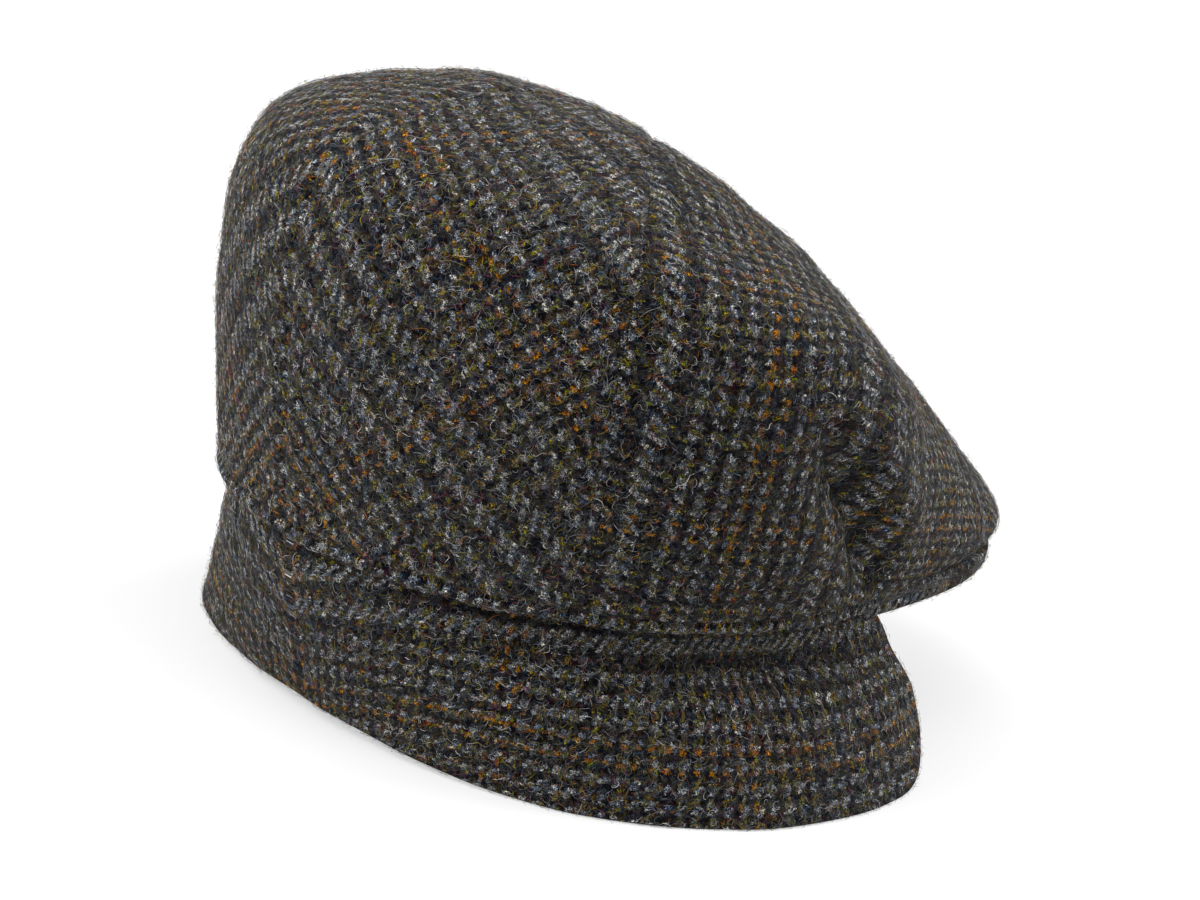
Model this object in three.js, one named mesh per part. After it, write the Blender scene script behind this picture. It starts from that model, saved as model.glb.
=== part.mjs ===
// Flat cap of check tweed with a wrap-around ear and neck flap, standing on the flap's edge.
// Millimetres, +Z up, the front of the cap towards -Y and the wearer's right towards -X.
// Angles run round the head from the centre back: 0 back, 90 over the ears, 180 front.
import * as THREE from 'three';
import { mergeVertices } from 'three/addons/utils/BufferGeometryUtils.js';

// Head opening
const RIM_HALF_LENGTH = 100;
const RIM_HALF_WIDTH = 83.5;
const RIM_HEIGHT = 47.5;
const RIM_RISE_TO_BACK = 0.028;
const RIM_FRONT_LIFT = 2.2;
const HEAD_CENTRE_Y = 11.4;

// Cloth
const CROWN_CLOTH = 2.2;
const FLAP_CLOTH = 2.6;
const SEAT_GAP = 0.35;

// Crown, heights above the rim's centre
const APEX_RISE = 105.3;
const APEX_SLOPE = 0.506;
const APEX_REACH = 35;
const BACK_SEAM = 47.5;
const BACK_PANEL_SHIFT = { side: 0.16, back: 0.56 };

// Crown sections: how far each control ring reaches from the head's axis.
const CROWN_REACH = [
  { angle: 0, shoulder: 84.5, bulge: 127, wall: 103.3 },
  { angle: 45, shoulder: 80, bulge: 108.7, wall: 99.5 },
  { angle: 90, shoulder: 73.5, bulge: 102.7, wall: 93.2 },
  { angle: 135, shoulder: 73.5, bulge: 100.5, wall: 108 },
  { angle: 180, shoulder: 82.1, bulge: 137.8, wall: 145.4 },
];

// Crown sections: how high each control ring lies above the rim's centre.
const CROWN_RISE = [
  { angle: 0, shoulder: 118.3, bulge: 102.3, wall: 24.6 },
  { angle: 45, shoulder: 106.5, bulge: 93.3, wall: 21.7 },
  { angle: 90, shoulder: 84.2, bulge: 79.9, wall: 18 },
  { angle: 135, shoulder: 63, bulge: 30, wall: 5 },
  { angle: 180, shoulder: 53.7, bulge: 5.9, wall: 2.3 },
];

// Fold that runs from the peak's corner up and back over each side of the crown, with the cloth
// puffed out in front of it.
const SIDE_FOLD = {
  lowAngle: 110,
  lowRise: 12,
  highAngle: 82,
  highRise: 56,
  depth: 6.5,
  width: 8.5,
  puff: 3,
  puffAt: 15,
  puffWidth: 10,
  arc: 98,
};

// Flap: how far its lower edge stands outside the rim, by angle.
const FLAP_SECTIONS = [
  { angle: 0, flare: -18 },
  { angle: 45, flare: 1.5 },
  { angle: 90, flare: 19 },
  { angle: 135, flare: 26 },
  { angle: 180, flare: 26 },
];
const FLAP_END = 118;
const FLAP_END_LEAN = { angle: 14.5, downPower: 0.7, roundPower: 5 };
const FLAP_STEP_SWEEP = 80;
const FLAP_CORNER = 26;
const FLAP_TUCK = 6;
const FLAP_CURVE = 1.1;
const FLAP_EASE = { out: 2.2, over: 4 };
const FLAP_BACK_LIFT = { height: 2.6, angle: 55 };
const FLAP_DIMPLE = { angle: 82, drop: 10, depth: 3.6, wide: 36, high: 5.5, arc: 88 };

// Peak
const PEAK_HALF_ANGLE = 66;
const PEAK_LENGTH = 30;
const PEAK_ROOT = 2.5;
const PEAK_TAPER = 1.8;
const PEAK_THICK = { root: 2.8, edge: 5.4 };
const PEAK_END_THIN = 0.45;
const PEAK_LIFT = { middle: 3.4, ends: 2.8, power: 1.8, endPower: 8 };
const PEAK_GAP = 0.5;
const PEAK_EDGE_THIN = 0.3;
const PEAK_STEP_POWER = 1.8;

const RADIANS = Math.PI / 180;

// Even, closed curve through the rows of a section table, as a sum of cosines.
function evenSeries(rows, column) {
  const last = rows.length - 1;
  const half = (i) => (i === 0 || i === last ? 0.5 : 1);
  const terms = rows.map((row, k) => {
    const sum = rows.reduce((s, r, j) => s + half(j) * r[column] * Math.cos((Math.PI * k * j) / last), 0);
    return (half(k) * 2 * sum) / last;
  });
  return (angle) => terms.reduce((s, c, k) => s + c * Math.cos(k * angle), 0);
}

const shoulderReach = evenSeries(CROWN_REACH, 'shoulder');
const bulgeReach = evenSeries(CROWN_REACH, 'bulge');
const wallReach = evenSeries(CROWN_REACH, 'wall');
const shoulderRise = evenSeries(CROWN_RISE, 'shoulder');
const bulgeRise = evenSeries(CROWN_RISE, 'bulge');
const wallRise = evenSeries(CROWN_RISE, 'wall');
const flapFlare = evenSeries(FLAP_SECTIONS, 'flare');

// Reach of the rim's oval, and height of the rim, which climbs a little to the back and forehead.
function rimReach(angle) {
  return 1 / Math.hypot(Math.sin(angle) / RIM_HALF_WIDTH, Math.cos(angle) / RIM_HALF_LENGTH);
}

function rimRise(angle) {
  const front = (1 - Math.cos(angle)) / 2;
  return RIM_RISE_TO_BACK * rimReach(angle) * Math.cos(angle) + RIM_FRONT_LIFT * front ** 2;
}

// Point at an angle, a reach from the head's axis and a rise above the rim's centre.
function around(angle, reach, rise) {
  const x = -reach * Math.sin(angle);
  const y = HEAD_CENTRE_Y + reach * Math.cos(angle);
  return new THREE.Vector3(x, y, RIM_HEIGHT + rise);
}

// Clamped cubic spline over six control values, t from 0 to 1.
const KNOTS = [0, 0, 0, 0, 1 / 3, 2 / 3, 1, 1, 1, 1];
function spline(values, t) {
  const span = Math.min(5, 3 + Math.floor(t * 3));
  const d = [0, 1, 2, 3].map((i) => values[span - 3 + i]);
  for (let level = 1; level <= 3; level += 1) {
    for (let i = 3; i >= level; i -= 1) {
      const low = KNOTS[span - 3 + i];
      const high = KNOTS[span + 1 + i - level];
      const a = (t - low) / (high - low);
      d[i] = (1 - a) * d[i - 1] + a * d[i];
    }
  }
  return d[3];
}

// Depth of the side fold: a groove along a straight line in angle and height, and a ridge before it.
function sideFold(angle, rise) {
  const turn = Math.acos(Math.cos(angle)) / RADIANS;
  const runA = (SIDE_FOLD.highAngle - SIDE_FOLD.lowAngle) * RADIANS * SIDE_FOLD.arc;
  const runZ = SIDE_FOLD.highRise - SIDE_FOLD.lowRise;
  const length = Math.hypot(runA, runZ);
  const a = (turn - SIDE_FOLD.lowAngle) * RADIANS * SIDE_FOLD.arc;
  const z = rise - SIDE_FOLD.lowRise;
  const along = (a * runA + z * runZ) / length;
  const across = (a * runZ - z * runA) / length;
  const u = (2 * along) / length - 1;
  const groove = SIDE_FOLD.depth * Math.exp(-((across / SIDE_FOLD.width) ** 2));
  const ridge = SIDE_FOLD.puff * Math.exp(-(((across - SIDE_FOLD.puffAt) / SIDE_FOLD.puffWidth) ** 2));
  return (groove - ridge) * Math.exp(-(u ** 4));
}

// Outer face of the crown: t is 0 where the seams meet on top and 1 at the rim.
function crownPoint(angle, t) {
  const reaches = [
    0,
    APEX_REACH,
    shoulderReach(angle),
    bulgeReach(angle),
    wallReach(angle),
    rimReach(angle),
  ];
  const rises = [
    APEX_RISE,
    APEX_RISE + APEX_SLOPE * APEX_REACH * Math.cos(angle),
    shoulderRise(angle),
    bulgeRise(angle),
    wallRise(angle),
    rimRise(angle),
  ];
  const reach = spline(reaches, t);
  const rise = spline(rises, t);
  return around(angle, reach - sideFold(angle, rise), rise);
}

// Outward normal of the crown from its two tangents; on top it is the slope's own normal.
function crownNormal(angle, t) {
  if (t < 0.02) return new THREE.Vector3(0, -APEX_SLOPE, 1).normalize();
  const step = 0.004;
  const low = Math.max(0, t - step);
  const high = Math.min(1, t + step);
  const down = crownPoint(angle, high).sub(crownPoint(angle, low));
  const round = crownPoint(angle + step, t).sub(crownPoint(angle - step, t));
  return down.cross(round).normalize();
}

// Closed body between two equal grids of points, an outer one and an inner one.
function shell(outer, inner) {
  const rows = outer.length;
  const columns = outer[0].length;
  const points = [...outer.flat(), ...inner.flat()];
  const o = (i, j) => i * columns + j;
  const n = (i, j) => rows * columns + i * columns + j;
  const faces = [];
  const quad = (a, b, c, d) => faces.push([a, b, c], [a, c, d]);
  for (let i = 0; i < rows - 1; i += 1) {
    for (let j = 0; j < columns - 1; j += 1) {
      quad(o(i, j), o(i + 1, j), o(i + 1, j + 1), o(i, j + 1));
      quad(n(i, j), n(i, j + 1), n(i + 1, j + 1), n(i + 1, j));
    }
    quad(o(i, 0), n(i, 0), n(i + 1, 0), o(i + 1, 0));
    quad(o(i, columns - 1), o(i + 1, columns - 1), n(i + 1, columns - 1), n(i, columns - 1));
  }
  for (let j = 0; j < columns - 1; j += 1) {
    quad(o(0, j), o(0, j + 1), n(0, j + 1), n(0, j));
    quad(o(rows - 1, j), n(rows - 1, j), n(rows - 1, j + 1), o(rows - 1, j + 1));
  }
  const geometry = new THREE.BufferGeometry();
  const positions = points.flatMap((p) => [p.x, p.y, p.z]);
  geometry.setAttribute('position', new THREE.Float32BufferAttribute(positions, 3));
  geometry.setIndex(faces.flat());
  return closed(geometry);
}

// Joins equal points and drops the faces that have shrunk to a line.
function closed(geometry) {
  const merged = mergeVertices(geometry, 1e-4);
  const index = Array.from(merged.index.array);
  const kept = [];
  for (let i = 0; i < index.length; i += 3) {
    const [a, b, c] = index.slice(i, i + 3);
    if (a !== b && b !== c && c !== a) kept.push(a, b, c);
  }
  merged.setIndex(kept);
  return merged;
}

// Grid of points: one row for each value of t, one column for each angle in degrees.
function grid(rows, columns, from, to, point) {
  return Array.from({ length: rows + 1 }, (_, i) => (
    Array.from({ length: columns + 1 }, (__, j) => {
      const angle = (from + ((to - from) * j) / columns) * RADIANS;
      return point(angle, i / rows);
    })
  ));
}

// Crown panel between two seams.
function crownPanel(from, to, columns, shiftX, shiftY) {
  const rows = 26;
  const shift = new THREE.Vector3(shiftX, shiftY, 0);
  const outer = grid(rows, columns, from, to, (angle, t) => crownPoint(angle, t).add(shift));
  const inner = grid(rows, columns, from, to, (angle, t) => (
    crownPoint(angle, t).addScaledVector(crownNormal(angle, t), -CROWN_CLOTH).add(shift)
  ));
  return shell(outer, inner);
}

// Soft hollow in each side of the flap just under the hem.
function flapDimple(angle, drop) {
  const turn = Math.abs(angle) / RADIANS;
  const a = ((turn - FLAP_DIMPLE.angle) * RADIANS * FLAP_DIMPLE.arc) / FLAP_DIMPLE.wide;
  const z = (drop - FLAP_DIMPLE.drop) / FLAP_DIMPLE.high;
  return FLAP_DIMPLE.depth * Math.exp(-(a ** 2) - z ** 2);
}

// Height of the flap's lower edge: on the ground along the sides, a little clear of it at the
// back and rounded up at the two front corners.
function flapEdge(angle) {
  const turn = Math.abs(angle) / RADIANS;
  const back = Math.cos(Math.min(1, turn / FLAP_BACK_LIFT.angle) * Math.PI / 2);
  const end = FLAP_END * RADIANS;
  const cornerAngle = FLAP_CORNER / (rimReach(end) + flapFlare(end)) / RADIANS;
  const q = Math.max(0, (turn - (FLAP_END - cornerAngle)) / cornerAngle);
  const corner = FLAP_CORNER * (1 - Math.sqrt(1 - Math.min(1, q) ** 2));
  return corner + FLAP_BACK_LIFT.height * (turn < FLAP_BACK_LIFT.angle ? back ** 2 : 0);
}

// Outer or inner face of the flap: t is 0 at its tucked top edge and 1 at its lower edge.
function flapPoint(angle, t, inset) {
  const top = RIM_HEIGHT + rimRise(angle) + FLAP_TUCK;
  const height = top + (flapEdge(angle) - top) * t;
  const drop = Math.max(0, top - FLAP_TUCK - height);
  const fall = drop / (top - FLAP_TUCK);
  const ease = FLAP_EASE.out * (1 - Math.exp(-((drop / FLAP_EASE.over) ** 2)));
  const flare = ease + flapFlare(angle) * fall ** FLAP_CURVE;
  const reach = rimReach(angle) - CROWN_CLOTH - SEAT_GAP + flare - flapDimple(angle, drop) - inset;
  const towardsEnd = (angle / (FLAP_END * RADIANS)) ** FLAP_END_LEAN.roundPower;
  const lean = FLAP_END_LEAN.angle * RADIANS * fall ** FLAP_END_LEAN.downPower * towardsEnd;
  return around(angle + lean, reach, height - RIM_HEIGHT);
}

// Steps round the flap, closer together towards its two rounded ends.
function flapStep(angle) {
  const end = FLAP_END * RADIANS;
  const sweep = FLAP_STEP_SWEEP * RADIANS;
  return (end * Math.sin((sweep * angle) / end)) / Math.sin(sweep);
}

function flapBody() {
  const outer = grid(9, 64, -FLAP_END, FLAP_END, (angle, t) => flapPoint(flapStep(angle), t, 0));
  const inner = grid(9, 64, -FLAP_END, FLAP_END, (angle, t) => flapPoint(flapStep(angle), t, FLAP_CLOTH));
  return shell(outer, inner);
}

// Top or bottom face of the peak: t is 0 at the rim and 1 at the peak's rounded edge. The top rises
// outwards under the crown, and the peak thickens to its padded edge.
function peakPoint(angle, t, side) {
  const turn = (angle - Math.PI) / (PEAK_HALF_ANGLE * RADIANS);
  const length = PEAK_ROOT + PEAK_LENGTH * Math.max(0, 1 - turn ** 2) ** PEAK_TAPER;
  const out = length * t;
  const round = Math.max(0, 1 - (length - out) / (PEAK_THICK.edge / 2));
  const full = PEAK_THICK.root + (PEAK_THICK.edge - PEAK_THICK.root) * t;
  const thick = full * (1 - PEAK_END_THIN * turn ** 4);
  const half = (thick / 2) * (PEAK_EDGE_THIN + (1 - PEAK_EDGE_THIN) * Math.sqrt(1 - round ** 2));
  const ends = (PEAK_LIFT.middle + PEAK_LIFT.ends * Math.abs(turn)) * (1 - turn ** PEAK_LIFT.endPower);
  const top = rimRise(angle) - PEAK_GAP + ends * t ** PEAK_LIFT.power;
  return around(angle, rimReach(angle) + out, top - thick / 2 + side * half);
}

// Steps along the peak's length, closer together towards its rounded edge.
function peakStep(t) {
  return 1 - (1 - t) ** PEAK_STEP_POWER;
}

function peakBody() {
  const from = 180 - PEAK_HALF_ANGLE;
  const to = 180 + PEAK_HALF_ANGLE;
  const top = grid(8, 40, from, to, (angle, t) => peakPoint(angle, peakStep(t), 1));
  const under = grid(8, 40, from, to, (angle, t) => peakPoint(angle, peakStep(t), -1));
  return shell(top, under);
}

function tweed(name, colour) {
  return new THREE.MeshStandardMaterial({ name, color: colour, roughness: 0.95, metalness: 0 });
}

function piece(name, geometry, colour) {
  geometry.computeVertexNormals();
  const mesh = new THREE.Mesh(geometry, tweed(`${name}_tweed`, colour));
  mesh.name = name;
  return mesh;
}

const cap = new THREE.Group();
cap.name = 'earflap_tweed_cap';
cap.add(piece('crown_front', crownPanel(BACK_SEAM, 360 - BACK_SEAM, 46, 0, 0), 0x4b4a47));
cap.add(piece(
  'crown_back_right',
  crownPanel(0, BACK_SEAM, 10, -BACK_PANEL_SHIFT.side, BACK_PANEL_SHIFT.back),
  0x4c4b48,
));
cap.add(piece(
  'crown_back_left',
  crownPanel(360 - BACK_SEAM, 360, 10, BACK_PANEL_SHIFT.side, BACK_PANEL_SHIFT.back),
  0x4c4b48,
));
cap.add(piece('peak', peakBody(), 0x474643));
cap.add(piece('earflap', flapBody(), 0x4a4945));

export default cap;
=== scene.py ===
"""Earflap tweed cap: a slouching flat cap of check wool tweed that stands on its turned-down flap."""
import math

import bpy
import numpy as np
from mathutils import Matrix


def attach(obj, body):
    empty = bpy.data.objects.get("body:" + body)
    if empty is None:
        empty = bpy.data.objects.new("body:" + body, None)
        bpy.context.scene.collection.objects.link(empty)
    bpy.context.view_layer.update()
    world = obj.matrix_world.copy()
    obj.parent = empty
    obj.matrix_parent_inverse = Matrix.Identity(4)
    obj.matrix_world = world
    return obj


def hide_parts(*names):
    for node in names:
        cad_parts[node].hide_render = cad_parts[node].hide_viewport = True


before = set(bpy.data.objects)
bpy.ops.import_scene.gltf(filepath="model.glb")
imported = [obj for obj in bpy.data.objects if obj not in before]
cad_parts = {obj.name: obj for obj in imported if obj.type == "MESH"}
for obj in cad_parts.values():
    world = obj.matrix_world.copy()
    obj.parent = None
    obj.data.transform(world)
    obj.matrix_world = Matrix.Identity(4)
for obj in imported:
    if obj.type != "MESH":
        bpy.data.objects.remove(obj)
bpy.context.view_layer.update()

# Front, top and sides of the crown: one panel of brushed check tweed, its grain straight at the sides,
# pulled forward over the peak, with loose wool raised out of it. It is sewn to the two back panels along
# the rear seams, and its lower edge is turned into a rolled hem with a sunk row of stitching.
RIM_HALF_LENGTH, RIM_HALF_WIDTH, RIM_HEIGHT = 100.0, 83.5, 47.5  # mm, as all sizes of the cloth
RIM_RISE_TO_BACK, RIM_FRONT_LIFT, HEAD_CENTRE_Y = 0.028, 2.2, 11.4
CROWN_CLOTH = 2.2
APEX_RISE, APEX_SLOPE, APEX_REACH = 105.3, 0.506, 35.0
BACK_SEAM = 47.5
CROWN_REACH = np.array([[84.5, 127, 103.3], [80, 108.7, 99.5], [73.5, 102.7, 93.2],
                        [73.5, 100.5, 108], [82.1, 137.8, 145.4]])
CROWN_RISE = np.array([[118.3, 102.3, 24.6], [106.5, 93.3, 21.7], [84.2, 79.9, 18],
                       [63, 30, 5], [53.7, 5.9, 2.3]])
SIDE_FOLD_LOW, SIDE_FOLD_HIGH = np.array([110.0, 12.0]), np.array([82.0, 56.0])
SIDE_FOLD_DEPTH, SIDE_FOLD_WIDTH, SIDE_FOLD_ARC = 6.5, 8.5, 98.0
SIDE_FOLD_PUFF, SIDE_FOLD_PUFF_AT, SIDE_FOLD_PUFF_WIDTH = 3.0, 15.0, 10.0
SIDE_FOLD_CREASE, SIDE_FOLD_CREASE_WIDTH = 2.2, 3.0
HEM_GROOVE, HEM_BAND, HEM_END = 4.4, 12.0, 124.0
HEM_FIRST_ROW, HEM_FADE_END, HEM_FADE = 86, 122.0, 16.0  # row of a panel's grid, and degrees
HEM_RIDGES = ((1.5, 2.1, 1.9), (0.6, 6.6, 1.6), (-0.35, HEM_GROOVE, 1.5))  # height, from the rim, width
SEAM_RIDGES = ((0.3, 4.2, 2.2), (-0.6, 0.0, 1.6))  # height, from the seam, width
CROWN_RUMPLES = (  # height, and how two waves go with x, y, z and start
    (0.26, (0.16, 0.11, 0.07, 0.0), (0.0, 0.05, -0.13, 1.3)),
    (0.2, (0.0, -0.09, 0.23, 0.6), (0.12, 0.17, 0.0, 2.1)),
    (0.16, (0.37, 0.0, -0.21, 0.0), (0.0, 0.31, 0.28, 0.4)))
YARN_GREY, YARN_OLIVE = 1.45, 1.03  # spacing of the two yarns
SETT_GREY, SETT_OLIVE, SETT_WIDE = 58, 66, 28  # yarns in one check, and in its four-and-four part
NAP_CONTRAST, NAP_DEPTH, NAP_LIFT = 1.33, 1.32, 1.41  # how shade between raised fibres deepens the colours


def even_series(rows, angle):
    """Even closed curve through values at 0, 45 ... 180 degrees, as a sum of five cosines."""
    last = len(rows) - 1
    half = np.where(np.isin(np.arange(last + 1), (0, last)), 0.5, 1.0)
    k = np.arange(last + 1)
    terms = 2 / last * half * (np.cos(np.pi * np.outer(k, k) / last) @ (half * np.asarray(rows, float)))
    return np.tensordot(terms, np.cos(k[:, None, None] * angle), 1)


def rim_reach(angle):
    """Oval of the head opening: distance from the head's axis at an angle from the centre back."""
    return 1 / np.hypot(np.sin(angle) / RIM_HALF_WIDTH, np.cos(angle) / RIM_HALF_LENGTH)


def rim_rise(angle):
    """Height of the rim over its centre: it climbs to the back, and a little at the forehead."""
    front = (1 - np.cos(angle)) / 2
    return RIM_RISE_TO_BACK * rim_reach(angle) * np.cos(angle) + RIM_FRONT_LIFT * front**2


def around(angle, reach, rise):
    """Point at an angle from the centre back, a reach from the head's axis and a rise over the rim."""
    return np.stack([-reach * np.sin(angle), HEAD_CENTRE_Y + reach * np.cos(angle), RIM_HEIGHT + rise], -1)


def spline_weights(t):
    """Weights of six control values of a clamped cubic spline, by de Boor's recursion on its knots."""
    knots = np.array([0, 0, 0, 0, 1 / 3, 2 / 3, 1, 1, 1, 1])
    t = np.clip(t, 0, 1 - 1e-9)[..., None]
    b = ((knots[:-1] <= t) & (t < knots[1:])).astype(float)
    for p in (1, 2, 3):
        left, right = knots[p:-1] - knots[:-p - 1], knots[p + 1:] - knots[1:-p]
        rise = np.divide(t - knots[:-p - 1], left, out=np.zeros(t.shape[:-1] + left.shape), where=left > 0)
        fall = np.divide(knots[p + 1:] - t, right, out=np.zeros(t.shape[:-1] + right.shape), where=right > 0)
        b = rise * b[..., :-1] + fall * b[..., 1:]
    return b


def side_fold(angle, rise):
    """Groove with a sharper crease along a straight line in angle and height, and a puffed ridge in
    front of it, all fading at both ends and alike on both sides."""
    turn = np.degrees(np.arccos(np.cos(angle)))
    scale = np.array([np.radians(1) * SIDE_FOLD_ARC, 1.0])
    run = (SIDE_FOLD_HIGH - SIDE_FOLD_LOW) * scale
    length = np.hypot(*run)
    off = (np.stack([turn, rise], -1) - SIDE_FOLD_LOW) * scale
    along, across = off @ run / length, (off[..., 0] * run[1] - off[..., 1] * run[0]) / length
    groove = SIDE_FOLD_DEPTH * np.exp(-(across / SIDE_FOLD_WIDTH) ** 2)
    groove += SIDE_FOLD_CREASE * np.exp(-(across / SIDE_FOLD_CREASE_WIDTH) ** 2)
    ridge = SIDE_FOLD_PUFF * np.exp(-((across - SIDE_FOLD_PUFF_AT) / SIDE_FOLD_PUFF_WIDTH) ** 2)
    return (groove - ridge) * np.exp(-(2 * along / length - 1) ** 4)


def crown_surface(angle, t, folded=1.0):
    """Outer face of the crown: each meridian is a cubic spline from the top, t = 0, to the rim."""
    zero = np.zeros_like(angle)
    reach = np.stack([zero, zero + APEX_REACH, *(even_series(c, angle) for c in CROWN_REACH.T),
                      rim_reach(angle)], -1)
    rise = np.stack([zero + APEX_RISE, APEX_RISE + APEX_SLOPE * APEX_REACH * np.cos(angle),
                     *(even_series(c, angle) for c in CROWN_RISE.T), rim_rise(angle)], -1)
    weights = spline_weights(t)
    reach, rise = (weights * reach).sum(-1), (weights * rise).sum(-1)
    return around(angle, reach - folded * side_fold(angle, rise), rise)


def outward(points):
    """Unit normals of a grid of points whose rows run down and whose columns run round the head."""
    n = np.cross(np.gradient(points, axis=0), np.gradient(points, axis=1))
    size = np.linalg.norm(n, axis=-1, keepdims=True)
    n = np.where(size > 1e-6, n / np.maximum(size, 1e-9), 0)
    n[0] = n[1].mean(0) if np.ptp(points[0], axis=0).max() < 1e-6 else n[0]
    return n / np.linalg.norm(n, axis=-1, keepdims=True)


def crown_rows(angles):
    """Grid of angle and t whose rows are evenly spaced in arc length, and finer along the hem."""
    fine = np.linspace(0, 1, 500)
    angle, t = np.meshgrid(angles, fine)
    steps = np.linalg.norm(np.diff(crown_surface(angle, t), axis=0), axis=-1)
    arc = np.vstack([np.zeros(len(angles)), np.cumsum(steps, 0)])
    hem = np.concatenate([np.linspace(HEM_BAND, HEM_GROOVE, 11), np.linspace(HEM_GROOVE, 0, 13)])
    part = np.linspace(0, 1, 76)[:-1, None]
    want = np.concatenate([part * (arc[-1] - HEM_BAND), arc[-1] - hem[:, None]])
    t = np.stack([np.interp(want[:, k], arc[:, k], fine) for k in range(len(angles))], 1)
    return np.broadcast_to(angles, t.shape), t, arc[-1] - want


def edge_round(distance, radius):
    """Quarter circle by which a face draws back within one radius of its edge."""
    return radius - np.sqrt(np.maximum(0, radius**2 - (radius - np.minimum(distance, radius)) ** 2))


def ridges(distance, rows):
    """Sum of bell curves over a distance, each with a height, a place and a width."""
    return sum(height * np.exp(-((distance - place) / width) ** 2) for height, place, width in rows)


def rumpled(points, rows):
    """Slow rumples of the cloth: a sum of products of two sine waves in space."""
    here = np.concatenate([points, np.ones_like(points[..., :1])], -1)
    return sum(height * np.sin(here @ np.array(a)) * np.sin(here @ np.array(b)) for height, a, b in rows)


def crown_relief(angle, points, from_rim, from_seam):
    """Hem roll, its sunk stitch row, the dip along each seam, and slow rumples of the cloth, in mm."""
    hem = np.clip((HEM_FADE_END - np.degrees(np.arccos(np.cos(angle)))) / HEM_FADE, 0, 1)
    relief = hem * hem * (3 - 2 * hem) * ridges(from_rim, HEM_RIDGES) + ridges(from_seam, SEAM_RIDGES)
    return relief + rumpled(points, CROWN_RUMPLES) - edge_round(from_rim, 1.0)


def cloth_piece(name, outer, inner, uv_outer, uv_inner, material):
    """Closed body of cloth between an outer and an inner grid, with its thread coordinates in mm."""
    rows, columns = outer.shape[:2]
    points = np.concatenate([outer.reshape(-1, 3), inner.reshape(-1, 3)])
    uv = np.concatenate([uv_outer.reshape(-1, 2), uv_inner.reshape(-1, 2)])
    o = np.arange(rows * columns).reshape(rows, columns)
    n = o + rows * columns

    def strip(a, b, c, d):
        return np.stack([a, b, c, d], -1).reshape(-1, 4)

    quads = np.concatenate([
        strip(o[:-1, :-1], o[1:, :-1], o[1:, 1:], o[:-1, 1:]),
        strip(n[:-1, :-1], n[:-1, 1:], n[1:, 1:], n[1:, :-1]),
        strip(o[:-1, 0], n[:-1, 0], n[1:, 0], o[1:, 0]),
        strip(o[:-1, -1], o[1:, -1], n[1:, -1], n[:-1, -1]),
        strip(o[0, :-1], o[0, 1:], n[0, 1:], n[0, :-1]),
        strip(o[-1, :-1], n[-1, :-1], n[-1, 1:], o[-1, 1:])])
    _, first, weld = np.unique(np.round(points, 3), axis=0, return_index=True, return_inverse=True)
    joined = weld.reshape(-1)[quads]
    single = joined != np.roll(joined, -1, axis=1)
    keep = single.sum(1) >= 3
    joined, quads, single = joined[keep], quads[keep], single[keep]
    mesh = bpy.data.meshes.new(name)
    mesh.vertices.add(len(first))
    mesh.vertices.foreach_set("co", (points[first] / 1000).astype(np.float32).ravel())
    corners = single.sum(1)
    mesh.loops.add(int(corners.sum()))
    mesh.polygons.add(len(corners))
    mesh.loops.foreach_set("vertex_index", joined[single].astype(np.int32))
    mesh.polygons.foreach_set("loop_start", np.concatenate([[0], np.cumsum(corners)[:-1]]).astype(np.int32))
    mesh.update(calc_edges=True)
    mesh.uv_layers.new(name="tweed").data.foreach_set("uv", uv[quads[single]].astype(np.float32).ravel())
    mesh.validate()
    mesh.shade_smooth()
    mesh.set_sharp_from_angle(angle=math.radians(60))
    mesh.materials.append(material)
    piece = bpy.data.objects.new(name, mesh)
    bpy.context.scene.collection.objects.link(piece)
    return piece


def linear(code):
    """sRGB hex colour as linear RGBA: c / 12.92 below 0.04045, else ((c + 0.055) / 1.055) ^ 2.4."""
    c = np.array([int(code[i:i + 2], 16) / 255 for i in (1, 3, 5)])
    return (*np.where(c <= 0.04045, c / 12.92, ((c + 0.055) / 1.055) ** 2.4), 1.0)


def add_node(tree, kind, settings=None, **links):
    """Adds a node, sets its properties, and sets or links its inputs, given by name or as _index."""
    made = tree.nodes.new(kind)
    for key, value in (settings or {}).items():
        setattr(made, key, value)
    for key, value in links.items():
        socket = made.inputs[int(key[1:])] if key[0] == "_" else made.inputs[key.replace("_", " ")]
        if isinstance(value, bpy.types.NodeSocket):
            tree.links.new(value, socket)
        else:
            socket.default_value = value
    return made


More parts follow.
